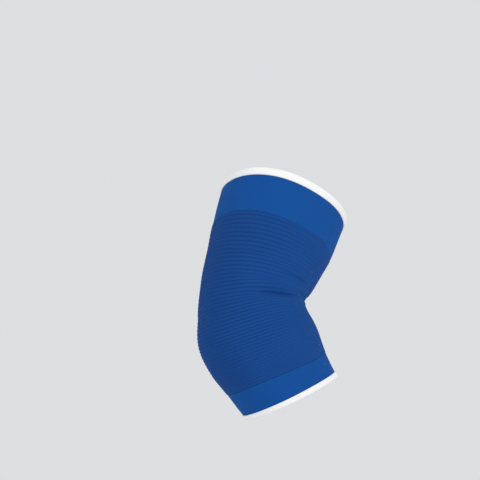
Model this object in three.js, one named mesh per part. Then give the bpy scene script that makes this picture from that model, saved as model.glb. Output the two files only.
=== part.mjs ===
// Elastic elbow support: a knitted tube, in its worn, bent form.
// Millimetres. +Z is up, +X points to the crook of the elbow, and Y runs across the sleeve, which is its
// own mirror image that way. The origin is the middle of the elbow, inside the sleeve.

import * as THREE from 'three';
import { ParametricGeometry } from 'three/addons/geometries/ParametricGeometry.js';
import { mergeVertices } from 'three/addons/utils/BufferGeometryUtils.js';

// Lengths along the middle of the sleeve. Both reaches start at the middle of the elbow.
const UPPER_REACH = 118;
const LOWER_REACH = 77;
const UPPER_HEM = 7.5;
const LOWER_HEM = 5;
const UPPER_CUFF = 37.5;
const LOWER_CUFF = 21;

// How the sleeve is held: its bend, the radius of that bend, and how far the whole sleeve leans back.
const BEND = THREE.MathUtils.degToRad(46);
const BEND_RADIUS = 80;
const LEAN = THREE.MathUtils.degToRad(8);

// Outside of the sleeve, front to back and from side to side.
const TOP_DEPTH = 122;
const TOP_WIDTH = 102;
const ELBOW_DEPTH = 94;
const ELBOW_WIDTH = 92;
const BOTTOM_DEPTH = 92;
const BOTTOM_WIDTH = 78;

// A section is a rounded oval: 2 would be an ellipse, and more is squarer.
const SECTION_POWER = 2.15;

// The cloth. A rib stands proud of the groove beside it, and a hem is cloth turned over and sewn.
const KNIT_WALL = 1.8;
const RIB_COUNT = 48;
const RIB_DEPTH = 0.8;
const HEM_WALL = 2.8;
const SEAM_GAP = 0.3;

// The cloth bunches in the crook and pinches beside it. A fold is as high as its share of FOLD_HEIGHT, and
// its width, place and climb are shares of FOLD_WIDTH.
const FOLD_HEIGHT = 5;
const FOLD_WIDTH = 12;

// Facets: round the tube, along a smooth wall, and round the edge of a hem.
const SIDES = 32;
const WALL_STEPS = 5;
const HEM_CORNERS = 8;

const BLUE_PLAIN = 0x17509a;
const BLUE_RIBBED = 0x1b488a;
const WHITE = 0xf4f4f6;
const CLOTH_ROUGHNESS = 0.9;

// Sections along the sleeve. at is a share of the reach from the elbow, and negative below it. front and
// back are shares of the depth there, on each side of the middle line, and side is a share of half the
// width there.
const SECTIONS = [
  { at: -1.0, front: 0.49, back: 0.5, side: 1.0 },
  { at: -0.7, front: 0.47, back: 0.57, side: 0.99 },
  { at: -0.42, front: 0.48, back: 0.64, side: 1.0 },
  { at: -0.2, front: 0.45, back: 0.685, side: 1.01 },
  { at: 0.0, front: 0.38, back: 0.62, side: 1.0 },
  { at: 0.17, front: 0.38, back: 0.55, side: 0.98 },
  { at: 0.38, front: 0.45, back: 0.53, side: 0.97 },
  { at: 0.65, front: 0.52, back: 0.51, side: 0.97 },
  { at: 1.0, front: 0.54, back: 0.46, side: 1.0 },
];

// Where the ribs are. at is a share of their number and place a share of the ribbed length, both from the
// lower join. The ribs are closest together round the elbow and furthest apart under the upper cuff.
const RIB_PLACES = [
  { at: 0.0, place: 0.0 },
  { at: 0.125, place: 0.1226 },
  { at: 0.165, place: 0.161 },
  { at: 0.25, place: 0.2226 },
  { at: 0.335, place: 0.28 },
  { at: 0.415, place: 0.337 },
  { at: 0.585, place: 0.473 },
  { at: 0.77, place: 0.642 },
  { at: 0.8125, place: 0.69 },
  { at: 1.0, place: 1.0 },
];

// Folds of the cloth: the crease in the crook, the roll above it, and the pinch at each side. middle is
// where a fold is strongest and reach is how far it fades away from there, as shares of half a turn from
// the crook. climb is how far it has risen up the sleeve by then.
const FOLDS = [
  { at: 0.6, height: -0.8, width: 0.45, middle: 0.0, reach: 0.75, climb: 0.2 },
  { at: 2.0, height: 0.25, width: 1.0, middle: 0.0, reach: 0.5, climb: 1.4 },
  { at: 0.6, height: -0.3, width: 0.25, middle: 0.56, reach: 0.16, climb: 0.0 },
];

// A smooth curve through one column of a table, with the slope at each row taken from the rows beside it.
function between(rows, column, at) {
  const last = rows.length - 1;
  const slope = (i) => {
    const low = rows[Math.max(i - 1, 0)];
    const high = rows[Math.min(i + 1, last)];
    return (high[column] - low[column]) / (high.at - low.at);
  };
  const above = rows.findIndex((row) => row.at >= at);
  const i = above < 0 ? last - 1 : Math.max(above - 1, 0);
  const step = rows[i + 1].at - rows[i].at;
  const t = (at - rows[i].at) / step;
  return (
    (1 + 2 * t) * (1 - t) ** 2 * rows[i][column] +
    t * (1 - t) ** 2 * step * slope(i) +
    t ** 2 * (3 - 2 * t) * rows[i + 1][column] +
    t ** 2 * (t - 1) * step * slope(i + 1)
  );
}

// A size of the sleeve at a place along it, from the sizes at its two ends and its elbow.
function sizeAt(at, bottom, elbow, top) {
  return THREE.MathUtils.lerp(elbow, at < 0 ? bottom : top, Math.abs(at));
}

// The section of the sleeve at a distance along its middle line: its half axes to the front, back and
// side.
function sectionAt(along) {
  const at = along / (along < 0 ? LOWER_REACH : UPPER_REACH);
  const depth = sizeAt(at, BOTTOM_DEPTH, ELBOW_DEPTH, TOP_DEPTH);
  const width = sizeAt(at, BOTTOM_WIDTH, ELBOW_WIDTH, TOP_WIDTH);
  return {
    front: depth * between(SECTIONS, 'front', at),
    back: depth * between(SECTIONS, 'back', at),
    side: (width / 2) * between(SECTIONS, 'side', at),
  };
}

// How far the folds move the cloth out at a place. turn is 0 in the crook and half a turn at the back.
function foldAt(along, turn) {
  let height = 0;
  for (const fold of FOLDS) {
    const round = Math.abs(Math.abs(turn) / Math.PI - fold.middle) / fold.reach;
    if (round < 1) {
      const fade = Math.cos((Math.PI / 2) * round) ** 2;
      const middle = FOLD_WIDTH * (fold.at + fold.climb * round);
      const off = (along - middle) / (FOLD_WIDTH * fold.width);
      height += FOLD_HEIGHT * fold.height * fade * Math.exp(-(off ** 2));
    }
  }
  return height;
}

// The middle line of the sleeve: straight, round the elbow on an arc, and straight again.
function middleLine(along) {
  const halfArc = (BEND_RADIUS * BEND) / 2;
  const onArc = THREE.MathUtils.clamp(along, -halfArc, halfArc);
  const angle = onArc / BEND_RADIUS;
  const straight = along - onArc;
  return {
    angle,
    x: BEND_RADIUS * (1 - Math.cos(angle)) + straight * Math.sin(angle),
    z: BEND_RADIUS * Math.sin(angle) + straight * Math.cos(angle),
  };
}

// A point of the cloth. lift is its height above the outer surface of the sleeve, and negative inside.
function clothPoint(along, turn, lift, target) {
  const section = sectionAt(along);
  const line = middleLine(along);
  const cos = Math.cos(turn);
  const sin = Math.sin(turn);
  const reach = cos > 0 ? section.front : section.back;
  const toCrook = Math.sign(cos) * Math.abs(cos) ** (2 / SECTION_POWER);
  const toSide = Math.sign(sin) * Math.abs(sin) ** (2 / SECTION_POWER);
  const outward = new THREE.Vector2(
    (Math.sign(cos) * Math.abs(toCrook) ** (SECTION_POWER - 1)) / reach,
    (Math.sign(sin) * Math.abs(toSide) ** (SECTION_POWER - 1)) / section.side,
  ).normalize();
  const height = lift + foldAt(along, turn);
  const forward = reach * toCrook + height * outward.x;
  target.set(
    line.x + forward * Math.cos(line.angle),
    section.side * toSide + height * outward.y,
    line.z - forward * Math.sin(line.angle),
  );
}

// A closed ring of cloth round the middle line. The outline is its cut edge, as a loop of places with
// their distance along that line and their lift: up the outside and down the inside.
function clothRing(name, outline, color) {
  const carry = (u, v, target) => {
    const corner = outline[Math.round(u * outline.length) % outline.length];
    clothPoint(corner.along, Math.PI * (1 - 2 * v), corner.lift, target);
  };
  const geometry = new ParametricGeometry(carry, outline.length, SIDES);
  geometry.deleteAttribute('normal');
  geometry.deleteAttribute('uv');
  const cloth = new THREE.MeshStandardMaterial({ color, roughness: CLOTH_ROUGHNESS, metalness: 0 });
  const ring = new THREE.Mesh(mergeVertices(geometry), cloth);
  ring.name = name;
  return ring;
}

// Evenly spaced places along one face of the cloth.
function face(from, to, steps, lift) {
  const places = [];
  for (let i = 0; i <= steps; i++) {
    places.push({ along: THREE.MathUtils.lerp(from, to, i / steps), lift });
  }
  return places;
}

// A flat band of cloth, level with the middle of the ribs beside it.
function plainOutline(low, high) {
  const outside = -RIB_DEPTH / 2;
  return [...face(low, high, WALL_STEPS, outside), ...face(high, low, WALL_STEPS, -KNIT_WALL)];
}

// Ribs outside, each rising from the groove under it, and a smooth wall inside.
function ribbedOutline(low, high) {
  const place = (rib) => THREE.MathUtils.lerp(low, high, between(RIB_PLACES, 'place', rib / RIB_COUNT));
  const outline = [];
  for (let i = 0; i <= 2 * RIB_COUNT; i++) {
    outline.push({ along: place(i / 2), lift: i % 2 ? 0 : -RIB_DEPTH });
  }
  for (let rib = RIB_COUNT; rib >= 0; rib--) {
    outline.push({ along: place(rib), lift: -KNIT_WALL });
  }
  return outline;
}

// Cloth turned over on itself, thicker than the knit, with its edges rounded.
function hemOutline(low, high) {
  const outline = [];
  for (let i = 0; i < HEM_CORNERS; i++) {
    const angle = (2 * Math.PI * (i + 0.5)) / HEM_CORNERS;
    const along = THREE.MathUtils.lerp(low, high, 0.5 - squareCosine(angle) / 2);
    const lift = -KNIT_WALL / 2 + (HEM_WALL / 2) * squareCosine(angle - Math.PI / 2);
    outline.push({ along, lift });
  }
  return outline;
}

// A cosine flattened at its ends, so that with its sine it goes round a square with rounded corners.
function squareCosine(angle) {
  const cos = Math.cos(angle);
  return Math.sign(cos) * Math.sqrt(Math.abs(cos));
}

// The joins between the pieces, from the bottom edge to the top edge.
const lowerHemLine = -LOWER_REACH + LOWER_HEM;
const lowerRibLine = lowerHemLine + LOWER_CUFF;
const upperHemLine = UPPER_REACH - UPPER_HEM;
const upperRibLine = upperHemLine - UPPER_CUFF;
const gap = SEAM_GAP / 2;

const sleeve = new THREE.Group();
sleeve.rotation.y = -LEAN;
sleeve.add(
  clothRing('lower_hem', hemOutline(-LOWER_REACH, lowerHemLine - gap), WHITE),
  clothRing('lower_cuff', plainOutline(lowerHemLine + gap, lowerRibLine - gap), BLUE_PLAIN),
  clothRing('ribbed_body', ribbedOutline(lowerRibLine + gap, upperRibLine - gap), BLUE_RIBBED),
  clothRing('upper_cuff', plainOutline(upperRibLine + gap, upperHemLine - gap), BLUE_PLAIN),
  clothRing('upper_hem', hemOutline(upperHemLine + gap, UPPER_REACH), WHITE),
);

export default sleeve;
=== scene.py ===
"""Elastic elbow sleeve in its worn, bent form: a ribbed blue middle, plain blue cuffs and white hems.
Metres, in the frame of the CAD model: +Z up the sleeve, +X to the crook of the elbow, Y across the sleeve.
The origin is the middle of the elbow, inside the sleeve."""

import math

import bpy
import numpy as np
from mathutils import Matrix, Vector


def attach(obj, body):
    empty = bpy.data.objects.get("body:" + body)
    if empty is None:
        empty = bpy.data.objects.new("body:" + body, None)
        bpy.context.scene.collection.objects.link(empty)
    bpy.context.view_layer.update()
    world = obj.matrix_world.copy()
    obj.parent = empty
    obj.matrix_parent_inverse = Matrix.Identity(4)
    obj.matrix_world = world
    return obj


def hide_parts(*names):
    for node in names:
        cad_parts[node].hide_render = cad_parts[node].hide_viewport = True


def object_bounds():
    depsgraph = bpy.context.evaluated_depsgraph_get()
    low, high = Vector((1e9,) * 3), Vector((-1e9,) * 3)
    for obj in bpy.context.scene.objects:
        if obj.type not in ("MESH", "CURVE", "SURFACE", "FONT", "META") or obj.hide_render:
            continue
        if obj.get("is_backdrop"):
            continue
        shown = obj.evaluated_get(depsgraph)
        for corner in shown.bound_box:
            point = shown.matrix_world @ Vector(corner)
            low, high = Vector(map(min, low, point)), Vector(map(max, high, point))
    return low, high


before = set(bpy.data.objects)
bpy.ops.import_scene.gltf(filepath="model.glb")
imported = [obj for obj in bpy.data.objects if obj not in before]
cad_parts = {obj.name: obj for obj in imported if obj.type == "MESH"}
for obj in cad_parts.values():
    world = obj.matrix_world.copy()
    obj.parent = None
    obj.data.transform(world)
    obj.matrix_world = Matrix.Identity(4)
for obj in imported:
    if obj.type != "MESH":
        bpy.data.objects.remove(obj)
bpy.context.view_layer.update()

# The picture: where the camera stands, and how large and where the sleeve is in the picture.
CAMERA_AZIMUTH = math.radians(-35.1)
CAMERA_ELEVATION = math.radians(-20.9)
CAMERA_DISTANCE = 1.0756
CAMERA_FILM = 36.0
CAMERA_CLIP = (0.05, 60.0)
PICTURE_SIZE = 480
PIXEL_SIZE = 0.00088
ORIGIN_PIXEL = (260.6, 316.1)

# The sleeve, with the names and sizes of the part's source.
UPPER_REACH = 0.118
LOWER_REACH = 0.077
UPPER_HEM = 0.0075
LOWER_HEM = 0.005
UPPER_CUFF = 0.0375
LOWER_CUFF = 0.021
BEND = math.radians(46)
BEND_RADIUS = 0.080
LEAN = math.radians(8)
TOP_DEPTH, TOP_WIDTH = 0.122, 0.102
ELBOW_DEPTH, ELBOW_WIDTH = 0.094, 0.092
BOTTOM_DEPTH, BOTTOM_WIDTH = 0.092, 0.078
SECTION_POWER = 2.15
KNIT_WALL = 0.0018
RIB_COUNT = 48
RIB_DEPTH = 0.0008
HEM_WALL = 0.0028
FOLD_HEIGHT = 0.005
FOLD_WIDTH = 0.012

# Shares of the depth in front of and behind the middle line, and of half the width, along the sleeve.
SECTIONS = {
    "at": (-1.0, -0.7, -0.42, -0.2, 0.0, 0.17, 0.38, 0.65, 1.0),
    "front": (0.49, 0.47, 0.48, 0.45, 0.38, 0.38, 0.45, 0.52, 0.54),
    "back": (0.5, 0.57, 0.64, 0.685, 0.62, 0.55, 0.53, 0.51, 0.46),
    "side": (1.0, 0.99, 1.0, 1.01, 1.0, 0.98, 0.97, 0.97, 1.0),
}

# Where the ribs are: a share of their number, and of the ribbed length, both from the lower join.
RIB_PLACES = {
    "at": (0.0, 0.125, 0.165, 0.25, 0.335, 0.415, 0.585, 0.77, 0.8125, 1.0),
    "place": (0.0, 0.1226, 0.161, 0.2226, 0.28, 0.337, 0.473, 0.642, 0.69, 1.0),
}

# How far the ribs rise from the back of the sleeve to its crook, by where they are at the back. Both are in
# millimetres, and all the rises are scaled. The ribs close up in the crease and in the slack above it, and
# fan out below the elbow. Each rises between two turns from the crook.
MILLIMETRES = 1000
RIB_RISE = {
    "at": (-51, -40, -32, -25, -18, -10, -3, 1, 3.5, 5.5, 7.3, 9, 13, 17, 20, 23, 28, 36, 48, 60, 73),
    "rise": (
        -3, -3, -2.7, -0.9, 2, 4.6, 5.4, 4.6, 2.8, 1.3, 0.5,
        1.2, 2.7, 0.4, -1.3, -0.4, 1.6, 2.2, 1.8, 1.2, 0,
    ),
}
RISE_SCALE = 1.1
RISE_STARTS, RISE_ENDS = math.radians(160), math.radians(70)

# The ribs lie higher than their places at the lower join, by a lift that is gone at this distance above it.
LOW_JOIN_LIFT = 0.0014
LOW_JOIN_REACH = 0.045

# Ribs this far apart have their full relief, and those that lie closer than the other have none. The power
# is how fast it is lost between them. Below the elbow the ribs grow shallower, from one distance along the
# sleeve to the next, and inside the sleeve only a little of them shows.
WIDE_SPACING, SHUT_SPACING = 0.0042, 0.0009
SPACING_POWER = 0.7
LOW_RELIEF, LOW_FADE = 0.6, (-0.012, -0.036)
INSIDE_RELIEF = 0.2

# Down the middle of the back the cloth is pulled tightest, so the ribs are pulled flatter, and painted shade
# darkens it. Each starts at its own turn from the crook.
BACK_RELIEF, BACK_TURN = 0.4, math.radians(146)
BACK_PAINTED_SHADE, BACK_PAINTED_SHADE_TURN = 0.35, math.radians(125)

# Up to the first of these turns from the crook the ribs are shallowest, and from the second on they have
# their full depth.
CROOK_TURN = math.radians(68)
SIDE_TURN = math.radians(128)

# The ribs are uneven. Their depth varies by this share in all, and it and their wandering change over patches
# of these sizes. They don't wander at a join, and wander fully this many ribs from it.
DEPTH_SHARE = 0.7
DEPTH_PATCH, WANDER_PATCH = 0.016, 0.022
HELD_RIBS = 2.0

# Folds: the crease in the crook, the roll above it and the pinch at each side. The rest are slighter, and
# only show close to: the full cloth beside the crease, a hollow in the roll, the sharp line in the pinch with
# a dent and a line over it, a second line higher up, and ripples under and over the crease.
FOLDS = (
    {"at": 0.6, "height": -0.8, "width": 0.45, "middle": 0.0, "reach": 0.75, "climb": 0.2},
    {"at": 2.0, "height": 0.25, "width": 1.0, "middle": 0.0, "reach": 0.5, "climb": 1.4},
    {"at": 0.6, "height": -0.3, "width": 0.25, "middle": 0.56, "reach": 0.16, "climb": 0.0},
    {"at": 0.5, "height": 0.34, "width": 0.26, "middle": 0.29, "reach": 0.15, "climb": 0.0},
    {"at": 2.4, "height": -0.04, "width": 0.4, "middle": 0.11, "reach": 0.14, "climb": 0.0},
    {"at": 0.6, "height": -0.36, "width": 0.14, "middle": 0.54, "reach": 0.16, "climb": 0.0},
    {"at": 0.64, "height": -0.26, "width": 0.22, "middle": 0.63, "reach": 0.12, "climb": 0.0},
    {"at": 0.84, "height": -0.1, "width": 0.07, "middle": 0.63, "reach": 0.16, "climb": 0.0},
    {"at": 2.1, "height": -0.3, "width": 0.1, "middle": 0.45, "reach": 0.19, "climb": 0.0},
    {"at": -0.75, "height": -0.08, "width": 0.3, "middle": 0.0, "reach": 0.34, "climb": 0.1},
    {"at": -1.7, "height": -0.06, "width": 0.3, "middle": 0.0, "reach": 0.3, "climb": -0.2},
    {"at": 3.3, "height": -0.06, "width": 0.32, "middle": 0.0, "reach": 0.32, "climb": 0.6},
)

# The cloth is never quite even: waves round and along the tube, with their height.
SOFT_WAVES = (
    {"round": 2, "length": 0.11, "start": 0.4, "height": 0.00022},
    {"round": 3, "length": -0.07, "start": 2.1, "height": 0.00018},
    {"round": 5, "length": 0.045, "start": 4.0, "height": 0.00012},
    {"round": 7, "length": -0.031, "start": 1.3, "height": 0.00008},
)

# How finely each piece and its threads are made, with the rings of a rib as shares of it, how much a cut edge
# of a cuff is rounded, and how far the cuffs and hems stay from a join.
RIB_SIDES = 240
CUFF_SIDES = 288
HEM_SIDES = 1008
HEM_STEPS = 26
RIB_RINGS = (0.0, 0.09, 0.27, 0.5, 0.73, 0.91)
RIB_RINGS_INSIDE = 2
CUFF_STEP = 0.0009
SEAM_SIDES = 360
THREAD_STEPS = 6
THREAD_SIDES = 6
CUFF_EDGE = 0.00025
SEAM = 0.00002

# The gathers of a hem: how many there are, and the angle by which their wave strays in all. That and their
# height change over patches of these sizes.
GATHERS = 168.0
GATHER_STRAY = 1.6
STRAY_PATCH, GATHER_PATCH = 0.004, 0.012

# The sewing: both rows of stitches lie in the hem, this far from its join with the cuff. Each row is on its
# own face of the hem, set a little into the cloth, and each stitch strays by up to this angle.
STITCH_INSET = 0.0016
STITCH_STRAY = 0.08
STITCH_ROWS = (
    {
        "side": "outside",
        "lift": -KNIT_WALL / 2 + HEM_WALL / 2 - 0.0001,
        "pitch": 0.0026,
        "length": 0.0022,
        "slant": 0.0,
        "zigzag": 0.0,
    },
    {
        "side": "inside",
        "lift": -KNIT_WALL / 2 - HEM_WALL / 2 + 0.00002,
        "pitch": 0.0013,
        "length": 0.0030,
        "slant": math.pi / 2,
        "zigzag": 0.42,
    },
)

# The knit: columns of loops round the tube, the height of a row of loops, how many rows a leg would climb
# across a whole column, how round the legs are, and how much of their height varies along them.
RIB_WALES = 232
CUFF_WALES = 264
ROW = 0.00105
LEG_CLIMB = 1.3
LEG_ROUNDNESS = 0.6
LOOP_RELIEF = 0.65

# The relief of the yarn is a bump. These are its depth on the blue bands, on the hems and on the thread, its
# strength on the knit and on the thread, and the part that the fibres have in it.
BLUE_BUMP, WHITE_BUMP, TWIST_BUMP = 0.00022, 0.0002, 0.0001
KNIT_STRENGTH, TWIST_STRENGTH = 0.55, 0.4
FIBRE_PART = 0.35

# How fine the grain is, of the fibres and the twist, and of the lighter and darker patches of the knit and of
# the thread. The last is how much lighter or darker the thread can be.
FIBRE_SCALE, TWIST_SCALE = 2400.0, 5000.0
PATCH_SCALE, THREAD_PATCH_SCALE = 38.0, 300.0
THREAD_STAIN = 0.08

# Colours of the yarn, as light leaves it, and how rough and shiny it is. The gap colours are painted shade
# between the yarn legs.
BLUE_LOOP = (0.0085, 0.081, 0.318)
BLUE_GAP_SHADE = (0.006, 0.057, 0.225)
BLUE_TINT = (0.12, 0.35, 1.0)
RIB_LOOP = (0.0105, 0.067, 0.264)
RIB_GAP_SHADE = (0.0075, 0.048, 0.19)
# Painted shade: the colour in the rib grooves and down the back.
RIB_GROOVE_SHADE = (0.009, 0.043, 0.168)
WHITE_LOOP = (0.9, 0.89, 0.88)
WHITE_GAP_SHADE = (0.75, 0.745, 0.74)
WHITE_TINT = (1.0, 1.0, 1.0)
THREAD_WHITE = (0.88, 0.88, 0.9)
GAP_ROUGHNESS, LOOP_ROUGHNESS, THREAD_ROUGHNESS = 0.97, 0.85, 0.75
KNIT_SPECULAR = 0.15
SHEEN_ROUGHNESS = 0.5

# The room: a pale floor far below, an even sky and two square lamps that face the elbow. A lamp's place is
# counted from the elbow, as the camera sees it: back towards the camera, to the right and up.
FLOOR_HEIGHT, FLOOR_REACH = -0.75, 9
FLOOR_COLOUR, FLOOR_ROUGHNESS = (0.94, 0.94, 0.95), 0.9
SKY_COLOUR, SKY_STRENGTH = (0.94, 0.955, 0.98), 0.77
LAMPS = (
    {"name": "key_light", "back": 1.1, "right": 1.1, "up": 0.9, "size": 0.9, "power": 11.5},
    {"name": "fill_light", "back": 1.4, "right": -1.2, "up": 0.8, "size": 1.0, "power": 8.5},
)

# The joins between the pieces, from the bottom edge to the top edge.
lower_hem_line = -LOWER_REACH + LOWER_HEM
lower_rib_line = lower_hem_line + LOWER_CUFF
upper_hem_line = UPPER_REACH - UPPER_HEM
upper_rib_line = upper_hem_line - UPPER_CUFF


# The form of the cloth


def between(table, column, at):
    """A smooth curve through one column of a table, with each slope taken from the rows beside it."""
    places, values = np.array(table["at"]), np.array(table[column])
    last = len(places) - 1
    low = np.maximum(np.arange(last + 1) - 1, 0)
    high = np.minimum(np.arange(last + 1) + 1, last)
    slope = (values[high] - values[low]) / (places[high] - places[low])
    i = np.clip(np.searchsorted(places, at) - 1, 0, last - 1)
    step = places[i + 1] - places[i]
    t = (at - places[i]) / step
    return (
        (1 + 2 * t) * (1 - t) ** 2 * values[i]
        + t * (1 - t) ** 2 * step * slope[i]
        + t**2 * (3 - 2 * t) * values[i + 1]
        + t**2 * (t - 1) * step * slope[i + 1]
    )


def smooth_step(value):
    """From 0 to 1 as value does, level at both ends."""
    value = np.clip(value, 0, 1)
    return value * value * (3 - 2 * value)


def size_at(at, bottom, elbow, top):
    """A size of the sleeve at a place along it, from the sizes at its two ends and its elbow."""
    return elbow + (np.where(at < 0, bottom, top) - elbow) * np.abs(at)


def folds_and_waves(along, turn):
    """How far the folds in the crook and the unevenness of the cloth move it out. turn is 0 in the crook."""
    height = np.zeros_like(along)
    for fold in FOLDS:
        share = np.minimum(np.abs(np.abs(turn) / math.pi - fold["middle"]) / fold["reach"], 1)
        middle = FOLD_WIDTH * (fold["at"] + fold["climb"] * share)
        off = (along - middle) / (FOLD_WIDTH * fold["width"])
        height += FOLD_HEIGHT * fold["height"] * np.cos(math.pi / 2 * share) ** 2 * np.exp(-(off**2))
    for wave in SOFT_WAVES:
        phase = wave["round"] * turn + 2 * math.pi * along / wave["length"] + wave["start"]
        height += wave["height"] * np.sin(phase)
    return height


def lean_back(x, y, z):
    """A direction or place, turned with the whole sleeve."""
    leaned_x = x * math.cos(LEAN) - z * math.sin(LEAN)
    leaned_z = x * math.sin(LEAN) + z * math.cos(LEAN)
    return np.stack([leaned_x, y, leaned_z], axis=-1)


def cloth(along, turn, lift):
    """Places on the cloth, and the ways out of it and up the sleeve there. lift is above the outer face."""
    along, turn, lift = (np.array(a, float) for a in np.broadcast_arrays(along, turn, lift))
    at = along / np.where(along < 0, LOWER_REACH, UPPER_REACH)
    depth = size_at(at, BOTTOM_DEPTH, ELBOW_DEPTH, TOP_DEPTH)
    side = size_at(at, BOTTOM_WIDTH, ELBOW_WIDTH, TOP_WIDTH) / 2 * between(SECTIONS, "side", at)
    cos, sin = np.cos(turn), np.sin(turn)
    reach = depth * np.where(cos > 0, between(SECTIONS, "front", at), between(SECTIONS, "back", at))
    to_crook = np.sign(cos) * np.abs(cos) ** (2 / SECTION_POWER)
    to_side = np.sign(sin) * np.abs(sin) ** (2 / SECTION_POWER)
    out_x = np.sign(cos) * np.abs(to_crook) ** (SECTION_POWER - 1) / reach
    out_y = np.sign(sin) * np.abs(to_side) ** (SECTION_POWER - 1) / side
    length = np.hypot(out_x, out_y)
    out_x, out_y = out_x / length, out_y / length
    half_arc = BEND_RADIUS * BEND / 2
    on_arc = np.clip(along, -half_arc, half_arc)
    angle, straight = on_arc / BEND_RADIUS, along - on_arc
    line_x = BEND_RADIUS * (1 - np.cos(angle)) + straight * np.sin(angle)
    line_z = BEND_RADIUS * np.sin(angle) + straight * np.cos(angle)
    height = lift + folds_and_waves(along, turn)
    forward = reach * to_crook + height * out_x
    place = lean_back(
        line_x + forward * np.cos(angle), side * to_side + height * out_y, line_z - forward * np.sin(angle)
    )
    outward = lean_back(out_x * np.cos(angle), out_y, -out_x * np.sin(angle))
    upward = lean_back(np.sin(angle), 0 * angle, np.cos(angle))
    return place, outward, upward


def rib_line(place, turn):
    """How far along the sleeve a rib is at a turn. place counts the ribs from the lower join."""
    share = between(RIB_PLACES, "place", place / RIB_COUNT)
    level = lower_rib_line + (upper_rib_line - lower_rib_line) * share
    lift = LOW_JOIN_LIFT * (1 - smooth_step((level - lower_rib_line) / LOW_JOIN_REACH))
    rise = between(RIB_RISE, "rise", level * MILLIMETRES) / MILLIMETRES
    risen = smooth_step((RISE_STARTS - np.abs(turn)) / (RISE_STARTS - RISE_ENDS))
    return level + lift + RISE_SCALE * rise * risen


def rib_relief(place, turn):
    """How much of its relief a rib has at a turn: less where the ribs lie close, and none in the crease."""
    # These two places are half a rib apart, so the ribs themselves are twice as far apart.
    above, below = (cloth(rib_line(place + step, turn), turn, 0.0)[0] for step in (0.25, -0.25))
    spacing = 2 * np.linalg.norm(above - below, axis=-1)
    room = np.minimum(spacing / WIDE_SPACING, 1) ** SPACING_POWER
    from_elbow = (rib_line(place, turn) - LOW_FADE[0]) / (LOW_FADE[1] - LOW_FADE[0])
    low_share = 1 - (1 - LOW_RELIEF) * smooth_step(from_elbow)
    back_share = 1 - (1 - BACK_RELIEF) * smooth_step((np.abs(turn) - BACK_TURN) / (math.pi - BACK_TURN))
    return low_share * back_share * room * smooth_step((spacing - SHUT_SPACING) / SHUT_SPACING)


def lower_cuff_line(along, turn):
    """Rows of the lower cuff, level at its hem and slanting with the last rib at its join."""
    share = (along - lower_hem_line) / (lower_rib_line - lower_hem_line)
    return along + share * (rib_line(0.0, turn) - lower_rib_line)


# Meshes


def placed(name, data):
    """A new object in the scene, at the origin."""
    thing = bpy.data.objects.new(name, data)
    bpy.context.scene.collection.objects.link(thing)
    return thing


def store(mesh, name, values):
    """A named attribute on the points of a mesh: a number or a direction for each."""
    kind, field = ("FLOAT_VECTOR", "vector") if values.ndim == 2 else ("FLOAT", "value")
    mesh.attributes.new(name, kind, "POINT").data.foreach_set(field, values.astype(np.float32).ravel())


def cloth_ring(name, outline, sides, line=None, relief=None):
    """A closed ring of cloth. outline is its cut edge as a loop of rows: distance along the sleeve, or a
    place that line turns into one, lift, and how much of the relief it takes, or of what relief gives there.
    Its UV map "cloth" is the share of the way round, and metres along the cloth."""
    place, lift, share = (column[:, None] for column in np.array(outline).T)
    count = len(place)
    turn = np.linspace(-math.pi, math.pi, sides, endpoint=False)[None, :]
    along = line(place, turn) if line else place
    share = share * relief(place, turn) if relief else share
    along, lift, share, _ = (np.array(a) for a in np.broadcast_arrays(along, lift, share, turn))
    points, outward, upward = cloth(along, turn, lift)
    i, j = (a.ravel() for a in np.meshgrid(np.arange(count), np.arange(sides), indexing="ij"))
    i_next, j_next = (i + 1) % count, (j + 1) % sides
    grid = ((i, j), (i, j_next), (i_next, j_next), (i_next, j))
    corners = np.stack([row * sides + column for row, column in grid], axis=1)
    mesh = bpy.data.meshes.new(name)
    mesh.vertices.add(count * sides)
    mesh.vertices.foreach_set("co", points.reshape(-1).astype(np.float32))
    mesh.loops.add(corners.size)
    mesh.loops.foreach_set("vertex_index", corners.ravel())
    mesh.polygons.add(len(corners))
    mesh.polygons.foreach_set("loop_start", np.arange(0, corners.size, 4))
    mesh.update(calc_edges=True)
    step = np.hypot(np.roll(along, -1, 0) - along, np.roll(lift, -1, 0) - lift)
    run = np.concatenate([np.zeros((1, sides)), np.cumsum(step, axis=0)])
    u = np.stack([j, j + 1, j + 1, j], axis=1) / sides
    v = np.stack([run[i, j], run[i, j_next], run[i + 1, j_next], run[i + 1, j]], axis=1)
    uv = np.stack([u, v], axis=-1).astype(np.float32)
    mesh.uv_layers.new(name="cloth").data.foreach_set("uv", uv.ravel())
    store(mesh, "place", (place + 0 * along).ravel())
    store(mesh, "along", along.ravel())
    store(mesh, "turn", (turn + 0 * along).ravel())
    store(mesh, "relief share", share.ravel())
    store(mesh, "outward", outward.reshape(-1, 3))
    store(mesh, "upward", upward.reshape(-1, 3))
    mesh.shade_smooth()
    return placed(name, mesh)


def plain_outline(low, high):
    """A flat band of cloth, level with the middle of the ribs beside it, its cut edges a little rounded."""
    outside, inside = -RIB_DEPTH / 2, -KNIT_WALL
    steps = round((high - low) / CUFF_STEP)
    rows = [(low, outside - CUFF_EDGE)]
    rows += [(along, outside) for along in np.linspace(low + CUFF_EDGE, high - CUFF_EDGE, steps)]
    rows += [(high, outside - CUFF_EDGE), (high, inside + CUFF_EDGE)]
    rows += [(along, inside) for along in np.linspace(high - CUFF_EDGE, low + CUFF_EDGE, steps // 2)]
    rows.append((low, inside + CUFF_EDGE))
    return [(along, lift, 0.0) for along, lift in rows]


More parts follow.
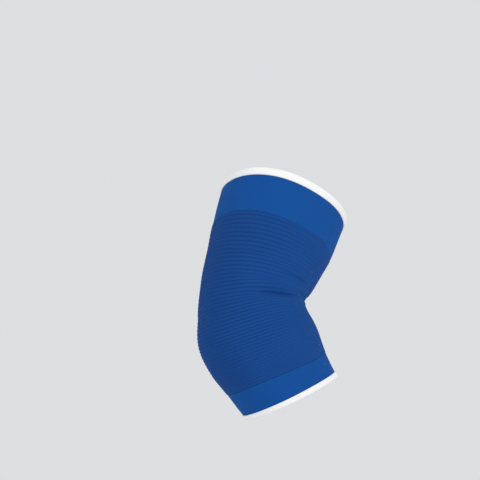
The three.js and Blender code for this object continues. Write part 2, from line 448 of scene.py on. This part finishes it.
def ribbed_outline():
    """The ribbed band, level here, as the tree presses its grooves in. Its places count the ribs."""
    rows = [(rib + step, 0.0, 1.0) for rib in range(RIB_COUNT) for step in RIB_RINGS]
    rows.append((RIB_COUNT, 0.0, 1.0))
    inside = np.linspace(RIB_COUNT, 0, RIB_RINGS_INSIDE * RIB_COUNT + 1)
    return rows + [(rib, -KNIT_WALL, INSIDE_RELIEF) for rib in inside]


def square_cosine(angle):
    """A cosine flattened at its ends, so that with its sine it goes round a square with rounded corners."""
    return math.copysign(math.sqrt(abs(math.cos(angle))), math.cos(angle))


def hem_outline(low, high):
    """Cloth turned over on itself, thicker than the knit, with its edges rounded."""
    rows = []
    for i in range(HEM_STEPS):
        angle = 2 * math.pi * (i + 0.5) / HEM_STEPS
        lift = square_cosine(angle - math.pi / 2)
        along = low + (high - low) * (0.5 - square_cosine(angle) / 2)
        rows.append((along, -KNIT_WALL / 2 + HEM_WALL / 2 * lift, lift))
    return rows


def seam_path(name, along, lift):
    """A closed line round the tube, for stitches to follow."""
    turn = np.linspace(-math.pi, math.pi, SEAM_SIDES, endpoint=False)
    place, outward, _ = cloth(along, turn, lift)
    mesh = bpy.data.meshes.new(name)
    mesh.from_pydata(place.tolist(), [(i, (i + 1) % SEAM_SIDES) for i in range(SEAM_SIDES)], [])
    store(mesh, "outward", outward if lift > -KNIT_WALL / 2 else -outward)
    return placed(name, mesh)


# Node trees


def node(tree, kind, links=(), **settings):
    """One node. links gives its inputs by name or number: for each the socket that feeds it, or its value."""
    made = tree.nodes.new(kind)
    for key, value in settings.items():
        setattr(made, key, value)
    for key, value in dict(links).items():
        if isinstance(value, bpy.types.NodeSocket):
            tree.links.new(value, made.inputs[key])
        else:
            made.inputs[key].default_value = value
    return made


def calc(tree, operation, *values):
    """The result of a Math node."""
    return node(tree, "ShaderNodeMath", enumerate(values), operation=operation).outputs[0]


def product(tree, first, *others):
    """Several numbers multiplied."""
    for other in others:
        first = calc(tree, "MULTIPLY", first, other)
    return first


def scaled(tree, vector, by):
    """A vector times a number."""
    return node(tree, "ShaderNodeVectorMath", {0: vector, "Scale": by}, operation="SCALE").outputs[0]


def eased(tree, value, starts, ends, first, last):
    """A number that goes smoothly from first to last while value goes from starts to ends."""
    span = {"Value": value, "From Min": starts, "From Max": ends, "To Min": first, "To Max": last}
    return node(tree, "ShaderNodeMapRange", span, interpolation_type="SMOOTHSTEP").outputs[0]


def mixed(tree, share, first, second):
    """A colour between two: the first where share is 0, and the second where it is 1."""
    # The Mix node has its colour sockets after those for numbers and vectors.
    made = node(tree, "ShaderNodeMix", {0: share, 6: first, 7: second}, data_type="RGBA")
    return made.outputs[2]


def attribute(tree, name, kind="FLOAT"):
    """The field of a named attribute."""
    return node(tree, "GeometryNodeInputNamedAttribute", {"Name": name}, data_type=kind).outputs["Attribute"]


def noise(tree, size, seed, detail=1.0):
    """Smooth noise about 0, from -0.5 to 0.5, with patches of about the given size."""
    links = {"Scale": 1 / size, "W": seed, "Detail": detail}
    made = node(tree, "ShaderNodeTexNoise", links, noise_dimensions="4D")
    return calc(tree, "SUBTRACT", made.outputs[0], 0.5)


def geometry_tree(name, sizes):
    """A Geometry Nodes tree with named inputs, and its input node. sizes gives each input's name and kind."""
    tree = bpy.data.node_groups.new(name, "GeometryNodeTree")
    tree.interface.new_socket("Geometry", in_out="INPUT", socket_type="NodeSocketGeometry")
    for size, kind in sizes.items():
        tree.interface.new_socket(size, in_out="INPUT", socket_type="NodeSocket" + kind)
    tree.interface.new_socket("Geometry", in_out="OUTPUT", socket_type="NodeSocketGeometry")
    return tree, tree.nodes.new("NodeGroupInput").outputs


def close_tree(tree, geometry, material):
    """The end of every tree: real geometry, with its material."""
    real = node(tree, "GeometryNodeRealizeInstances", {0: geometry}).outputs[0]
    done = node(tree, "GeometryNodeSetMaterial", {"Geometry": real, "Material": material}).outputs[0]
    node(tree, "NodeGroupOutput", {0: done})
    return tree


def rib_tree():
    """Ribs round the tube: rounded ridges with a narrow groove between each two, shallower in the crook."""
    tree, given = geometry_tree(
        "ribs_of_the_knit",
        {
            "Rib depth": "Float",
            "Groove narrowness": "Float",
            "Depth left in the crook": "Float",
            "Painted shade down the back": "Float",
            "Wander": "Float",
            "Seed": "Float",
            "Cloth": "Material",
        },
    )
    place = attribute(tree, "place")
    share = attribute(tree, "relief share")
    from_crook = calc(tree, "ABSOLUTE", attribute(tree, "turn"))
    wave = calc(tree, "ABSOLUTE", calc(tree, "SINE", calc(tree, "MULTIPLY", place, math.pi)))
    groove = calc(tree, "SUBTRACT", 1.0, calc(tree, "POWER", wave, given["Groove narrowness"]))
    fade = eased(tree, from_crook, CROOK_TURN, SIDE_TURN, given["Depth left in the crook"], 1.0)
    uneven = calc(tree, "MULTIPLY_ADD", noise(tree, DEPTH_PATCH, given["Seed"]), DEPTH_SHARE, 1.0)
    inwards = product(tree, given["Rib depth"], fade, uneven, groove, share)
    # The wandering has a seed of its own, any other than that of the depth.
    other_seed = calc(tree, "ADD", given["Seed"], 7.0)
    from_join = calc(tree, "MINIMUM", place, calc(tree, "SUBTRACT", float(RIB_COUNT), place))
    held = node(tree, "ShaderNodeMapRange", {"Value": from_join, "From Max": HELD_RIBS}).outputs[0]
    sideways = product(tree, noise(tree, WANDER_PATCH, other_seed), given["Wander"], held)
    outward = attribute(tree, "outward", "FLOAT_VECTOR")
    upward = attribute(tree, "upward", "FLOAT_VECTOR")
    offset = node(
        tree,
        "ShaderNodeVectorMath",
        {0: scaled(tree, outward, calc(tree, "MULTIPLY", inwards, -1.0)), 1: scaled(tree, upward, sideways)},
        operation="ADD",
    ).outputs[0]
    # Painted shade: the back is made darker, and is stored with the darkening of the rib grooves as the
    # attribute groove.
    painted_back_shade = eased(tree, from_crook, BACK_PAINTED_SHADE_TURN, math.pi, 0.0, given["Painted shade down the back"])
    darker = calc(tree, "ADD", product(tree, groove, fade, share), painted_back_shade)
    kept = node(
        tree,
        "GeometryNodeStoreNamedAttribute",
        {"Geometry": given["Geometry"], "Name": "groove", "Value": darker},
        data_type="FLOAT",
        domain="POINT",
    ).outputs[0]
    moved = node(tree, "GeometryNodeSetPosition", {"Geometry": kept, "Offset": offset}).outputs[0]
    return close_tree(tree, moved, given["Cloth"])


def gather_tree():
    """Fine gathers across a hem, each a little different, and the dent that its row of stitches pulls in."""
    tree, given = geometry_tree(
        "gathers_of_the_hem",
        {
            "Gathers": "Float",
            "Gather height": "Float",
            "Stitch line": "Float",
            "Stitch dent": "Float",
            "Dent width": "Float",
            "Seed": "Float",
            "Cloth": "Material",
        },
    )
    even_phase = calc(tree, "MULTIPLY", attribute(tree, "turn"), given["Gathers"])
    phase = calc(tree, "MULTIPLY_ADD", noise(tree, STRAY_PATCH, given["Seed"], 2.0), GATHER_STRAY, even_phase)
    ridge = calc(tree, "MULTIPLY", calc(tree, "COSINE", phase), given["Gather height"])
    uneven = calc(tree, "ADD", noise(tree, GATHER_PATCH, given["Seed"]), 1.0)
    from_line = calc(tree, "SUBTRACT", attribute(tree, "along"), given["Stitch line"])
    off = calc(tree, "DIVIDE", from_line, given["Dent width"])
    dent = calc(tree, "EXPONENT", calc(tree, "MULTIPLY", calc(tree, "POWER", off, 2.0), -1.0))
    pulled_in = calc(tree, "MULTIPLY", dent, given["Stitch dent"])
    height = calc(tree, "SUBTRACT", calc(tree, "MULTIPLY", ridge, uneven), pulled_in)
    height = calc(tree, "MULTIPLY", height, attribute(tree, "relief share"))
    offset = scaled(tree, attribute(tree, "outward", "FLOAT_VECTOR"), height)
    links = {"Geometry": given["Geometry"], "Offset": offset}
    moved = node(tree, "GeometryNodeSetPosition", links).outputs[0]
    return close_tree(tree, moved, given["Cloth"])


def stitch_tree():
    """Stitches along a seam: arched threads at an even pitch, with a slant and a zigzag to and fro."""
    tree, given = geometry_tree(
        "stitches_on_a_seam",
        {
            "Pitch": "Float",
            "Stitch length": "Float",
            "Thread radius": "Float",
            "Arch": "Float",
            "Slant": "Float",
            "Zigzag": "Float",
            "Seed": "Int",
            "Thread": "Material",
        },
    )
    path = node(tree, "GeometryNodeMeshToCurve", {0: given["Geometry"]}).outputs[0]
    places = node(
        tree, "GeometryNodeResampleCurve", {"Curve": path, "Length": given["Pitch"]}, mode="LENGTH"
    ).outputs[0]
    half = calc(tree, "MULTIPLY", given["Stitch length"], 0.5)
    other_half = calc(tree, "MULTIPLY", half, -1.0)
    sunk = calc(tree, "MULTIPLY", given["Thread radius"], -1.0)
    # The arc reaches about half as high as its middle point.
    top = calc(tree, "MULTIPLY", given["Arch"], 2.0)
    arc = node(
        tree,
        "GeometryNodeCurveQuadraticBezier",
        {
            "Resolution": THREAD_STEPS,
            "Start": node(tree, "ShaderNodeCombineXYZ", {0: other_half, 2: sunk}).outputs[0],
            "Middle": node(tree, "ShaderNodeCombineXYZ", {2: top}).outputs[0],
            "End": node(tree, "ShaderNodeCombineXYZ", {0: half, 2: sunk}).outputs[0],
        },
    ).outputs[0]
    round_thread = node(
        tree,
        "GeometryNodeCurvePrimitiveCircle",
        {"Resolution": THREAD_SIDES, "Radius": given["Thread radius"]},
    ).outputs[0]
    thread = node(
        tree, "GeometryNodeCurveToMesh", {"Curve": arc, "Profile Curve": round_thread, "Fill Caps": True}
    ).outputs[0]
    tangent = node(tree, "GeometryNodeInputTangent").outputs[0]
    along_seam = node(tree, "FunctionNodeAlignRotationToVector", {"Vector": tangent}, axis="X").outputs[0]
    standing = node(
        tree,
        "FunctionNodeAlignRotationToVector",
        {"Rotation": along_seam, "Vector": attribute(tree, "outward", "FLOAT_VECTOR")},
        axis="Z",
        pivot_axis="X",
    ).outputs[0]
    index = node(tree, "GeometryNodeInputIndex").outputs[0]
    side = calc(tree, "MULTIPLY_ADD", calc(tree, "MODULO", index, 2.0), 2.0, -1.0)
    limits = {"Min": -STITCH_STRAY, "Max": STITCH_STRAY, "Seed": given["Seed"]}
    stray = node(tree, "FunctionNodeRandomValue", limits, data_type="FLOAT").outputs[1]
    swing = calc(tree, "ADD", calc(tree, "MULTIPLY_ADD", side, given["Zigzag"], given["Slant"]), stray)
    stitches = node(
        tree, "GeometryNodeInstanceOnPoints", {"Points": places, "Instance": thread, "Rotation": standing}
    ).outputs[0]
    turned = node(
        tree,
        "GeometryNodeRotateInstances",
        {"Instances": stitches, "Rotation": node(tree, "ShaderNodeCombineXYZ", {2: swing}).outputs[0]},
    ).outputs[0]
    smooth = node(tree, "GeometryNodeSetShadeSmooth", {0: turned}).outputs[0]
    return close_tree(tree, smooth, given["Thread"])


def bake(piece, tree, values):
    """Runs a tree on a piece with the values of its named inputs, and keeps the result as a plain mesh."""
    modifier = piece.modifiers.new(tree.name, "NODES")
    modifier.node_group = tree
    sockets = {s.name: s.identifier for s in tree.interface.items_tree if s.in_out == "INPUT"}
    for name, value in values.items():
        modifier[sockets[name]] = value
    depsgraph = bpy.context.evaluated_depsgraph_get()
    mesh = bpy.data.meshes.new_from_object(
        piece.evaluated_get(depsgraph), preserve_all_data_layers=True, depsgraph=depsgraph
    )
    piece.modifiers.clear()
    piece.data = mesh
    mesh.name = piece.name


# Materials


def new_material(name):
    """A material, its node tree and its shader."""
    material = bpy.data.materials.new(name)
    material.use_nodes = True
    return material, material.node_tree, material.node_tree.nodes["Principled BSDF"]


def grain(tree, scale, detail):
    """Noise fixed to the piece."""
    place = node(tree, "ShaderNodeTexCoord").outputs["Object"]
    return node(tree, "ShaderNodeTexNoise", {"Vector": place, "Scale": scale, "Detail": detail}).outputs[0]


def stained(tree, colour, patch, stain):
    """A colour that is lighter or darker in patches, by up to the stain."""
    lightness = calc(tree, "MULTIPLY_ADD", calc(tree, "SUBTRACT", patch, 0.5), 2 * stain, 1.0)
    return node(tree, "ShaderNodeHueSaturation", {"Color": colour, "Value": lightness}).outputs[0]


def knit_material(
    name, loop_colour, gap_shade_colour, tint, wales, relief, groove_shade_colour=None, stain=0.05, sheen=0.06
):
    """Plain knit: columns of slanting yarn legs in pairs, laid round the tube by the piece's own UV map."""
    material, tree, shader = new_material(name)
    uv = node(tree, "ShaderNodeUVMap", uv_map="cloth").outputs[0]
    uv = node(tree, "ShaderNodeSeparateXYZ", {0: uv}).outputs
    column = calc(tree, "FRACT", calc(tree, "MULTIPLY", uv[0], float(wales)))
    off_middle = calc(tree, "ABSOLUTE", calc(tree, "SUBTRACT", column, 0.5))
    leg = calc(tree, "SINE", calc(tree, "MULTIPLY", off_middle, 2 * math.pi))
    row = calc(tree, "MULTIPLY_ADD", off_middle, LEG_CLIMB, calc(tree, "DIVIDE", uv[1], ROW))
    loop = calc(tree, "MULTIPLY_ADD", calc(tree, "SINE", calc(tree, "MULTIPLY", row, 2 * math.pi)), 0.5, 0.5)
    along_leg = calc(tree, "MULTIPLY_ADD", loop, LOOP_RELIEF, 1 - LOOP_RELIEF)
    height = calc(tree, "MULTIPLY", calc(tree, "POWER", leg, LEG_ROUNDNESS), along_leg)
    # Painted shade: the gaps between the yarn legs are darker.
    colour = mixed(tree, height, (*gap_shade_colour, 1), (*loop_colour, 1))
    # Painted shade in the rib grooves and down the back, read from the attribute groove.
    if groove_shade_colour:
        groove = node(tree, "ShaderNodeAttribute", attribute_name="groove").outputs["Fac"]
        colour = mixed(tree, groove, colour, (*groove_shade_colour, 1))
    patch = grain(tree, PATCH_SCALE, detail=3.0)
    tree.links.new(stained(tree, colour, patch, stain), shader.inputs["Base Color"])
    rough = calc(tree, "MULTIPLY_ADD", height, LOOP_ROUGHNESS - GAP_ROUGHNESS, GAP_ROUGHNESS)
    tree.links.new(rough, shader.inputs["Roughness"])
    shader.inputs["Specular IOR Level"].default_value = KNIT_SPECULAR
    shader.inputs["Specular Tint"].default_value = (*tint, 1)
    shader.inputs["Sheen Weight"].default_value = sheen
    shader.inputs["Sheen Roughness"].default_value = SHEEN_ROUGHNESS
    shader.inputs["Sheen Tint"].default_value = (*tint, 1)
    fine = calc(tree, "MULTIPLY_ADD", grain(tree, FIBRE_SCALE, detail=3.0), FIBRE_PART, height)
    bump = node(tree, "ShaderNodeBump", {"Strength": KNIT_STRENGTH, "Distance": relief, "Height": fine})
    tree.links.new(bump.outputs[0], shader.inputs["Normal"])
    return material


def thread_material(name, colour):
    """Sewing thread: twisted, matt and a little uneven."""
    material, tree, shader = new_material(name)
    patch = grain(tree, THREAD_PATCH_SCALE, detail=2.0)
    tree.links.new(stained(tree, (*colour, 1), patch, THREAD_STAIN), shader.inputs["Base Color"])
    shader.inputs["Roughness"].default_value = THREAD_ROUGHNESS
    twist = grain(tree, TWIST_SCALE, detail=1.0)
    relief = {"Strength": TWIST_STRENGTH, "Distance": TWIST_BUMP, "Height": twist}
    bump = node(tree, "ShaderNodeBump", relief)
    tree.links.new(bump.outputs[0], shader.inputs["Normal"])
    return material


blue_plain = knit_material("blue_plain_knit", BLUE_LOOP, BLUE_GAP_SHADE, BLUE_TINT, CUFF_WALES, BLUE_BUMP)
blue_ribbed = knit_material(
    "blue_ribbed_knit", RIB_LOOP, RIB_GAP_SHADE, BLUE_TINT, RIB_WALES, BLUE_BUMP, RIB_GROOVE_SHADE
)
white_knit = knit_material(
    "white_hem_knit", WHITE_LOOP, WHITE_GAP_SHADE, WHITE_TINT, CUFF_WALES, WHITE_BUMP, stain=0.03, sheen=0.1
)
white_thread = thread_material("white_thread", THREAD_WHITE)

# The sleeve

ribs = rib_tree()
gathers = gather_tree()
stitches = stitch_tree()

ribbed_body = cloth_ring("ribbed_body_knit", ribbed_outline(), RIB_SIDES, rib_line, rib_relief)
bake(ribbed_body, ribs, {
    "Rib depth": 0.0007,
    "Groove narrowness": 0.55,
    "Depth left in the crook": 0.34,
    "Painted shade down the back": BACK_PAINTED_SHADE,
    "Wander": 0.0004,
    "Seed": 3.0,
    "Cloth": blue_ribbed,
})

cuffs = {}
for name, low, high, line in (
    ("lower_cuff", lower_hem_line, lower_rib_line, lower_cuff_line),
    ("upper_cuff", upper_rib_line, upper_hem_line, None),
):
    cuffs[name] = cloth_ring(name + "_knit", plain_outline(low + SEAM, high - SEAM), CUFF_SIDES, line)
    cuffs[name].data.materials.append(blue_plain)

hems, sewing = {}, {}
for name, low, high, sign in (
    ("lower_hem", -LOWER_REACH, lower_hem_line, 1),
    ("upper_hem", upper_hem_line, UPPER_REACH, -1),
):
    hem = cloth_ring(name + "_band", hem_outline(low + SEAM, high - SEAM), HEM_SIDES)
    stitch_line = (high if sign > 0 else low) - sign * STITCH_INSET
    bake(hem, gathers, {
        "Gathers": GATHERS,
        "Gather height": 0.00007,
        "Stitch line": stitch_line,
        "Stitch dent": 0.00022,
        "Dent width": 0.0006,
        "Seed": 5.0 + sign,
        "Cloth": white_knit,
    })
    hems[name] = hem
    sewing[name] = []
    for stitch in STITCH_ROWS:
        row = seam_path(f"{name}_stitches_{stitch['side']}", stitch_line, stitch["lift"])
        bake(row, stitches, {
            "Pitch": stitch["pitch"],
            "Stitch length": stitch["length"],
            "Thread radius": 0.00017,
            "Arch": 0.00016,
            "Slant": stitch["slant"],
            "Zigzag": stitch["zigzag"],
            "Seed": 11,
            "Thread": white_thread,
        })
        sewing[name].append(row)

# What stands for which node of the CAD model

for piece, cad_node, slot in (
    (ribbed_body, "ribbed_body", "blue_ribbed_knit"),
    (cuffs["lower_cuff"], "lower_cuff", "blue_plain_knit"),
    (cuffs["upper_cuff"], "upper_cuff", "blue_plain_knit"),
    (hems["lower_hem"], "lower_hem", "white_hem"),
    (hems["upper_hem"], "upper_hem", "white_hem"),
):
    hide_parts(cad_node)
    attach(piece, "root")
for rows in sewing.values():
    for row in rows:
        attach(row, "root")

# Camera, floor and light

back = Vector((
    math.sin(CAMERA_AZIMUTH) * math.cos(CAMERA_ELEVATION),
    -math.cos(CAMERA_AZIMUTH) * math.cos(CAMERA_ELEVATION),
    math.sin(CAMERA_ELEVATION),
))
right = Vector((math.cos(CAMERA_AZIMUTH), math.sin(CAMERA_AZIMUTH), 0))
up = back.cross(right)
camera_data = bpy.data.cameras.new("camera")
camera_data.sensor_width = CAMERA_FILM
camera_data.lens = CAMERA_FILM * CAMERA_DISTANCE / (PICTURE_SIZE * PIXEL_SIZE)
camera_data.clip_start, camera_data.clip_end = CAMERA_CLIP
camera = placed("camera", camera_data)
middle = PICTURE_SIZE / 2
camera.location = (
    CAMERA_DISTANCE * back
    - (ORIGIN_PIXEL[0] - middle) * PIXEL_SIZE * right
    + (ORIGIN_PIXEL[1] - middle) * PIXEL_SIZE * up
)
camera.rotation_euler = back.to_track_quat("Z", "Y").to_euler()
bpy.context.scene.camera = camera

floor_mesh = bpy.data.meshes.new("floor")
floor_corners = ((-1, -1), (1, -1), (1, 1), (-1, 1))
floor_places = [(x * FLOOR_REACH, y * FLOOR_REACH, FLOOR_HEIGHT) for x, y in floor_corners]
floor_mesh.from_pydata(floor_places, [], [(0, 1, 2, 3)])
floor = placed("floor", floor_mesh)
floor_paint, _, floor_shader = new_material("pale_floor")
floor_shader.inputs["Base Color"].default_value = (*FLOOR_COLOUR, 1)
floor_shader.inputs["Roughness"].default_value = FLOOR_ROUGHNESS
floor_mesh.materials.append(floor_paint)
floor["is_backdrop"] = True

world = bpy.data.worlds.new("studio")
world.use_nodes = True
sky = world.node_tree.nodes["Background"]
sky.inputs["Color"].default_value = (*SKY_COLOUR, 1)
sky.inputs["Strength"].default_value = SKY_STRENGTH
bpy.context.scene.world = world

for lamp in LAMPS:
    lamp_data = bpy.data.lights.new(lamp["name"], "AREA")
    lamp_data.shape, lamp_data.size, lamp_data.energy = "SQUARE", lamp["size"], lamp["power"]
    light = placed(lamp["name"], lamp_data)
    light.location = lamp["back"] * back + lamp["right"] * right + lamp["up"] * up
    light.rotation_euler = light.location.to_track_quat("Z", "Y").to_euler()
bpy.context.scene.view_settings.view_transform = "Standard"

low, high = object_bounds()
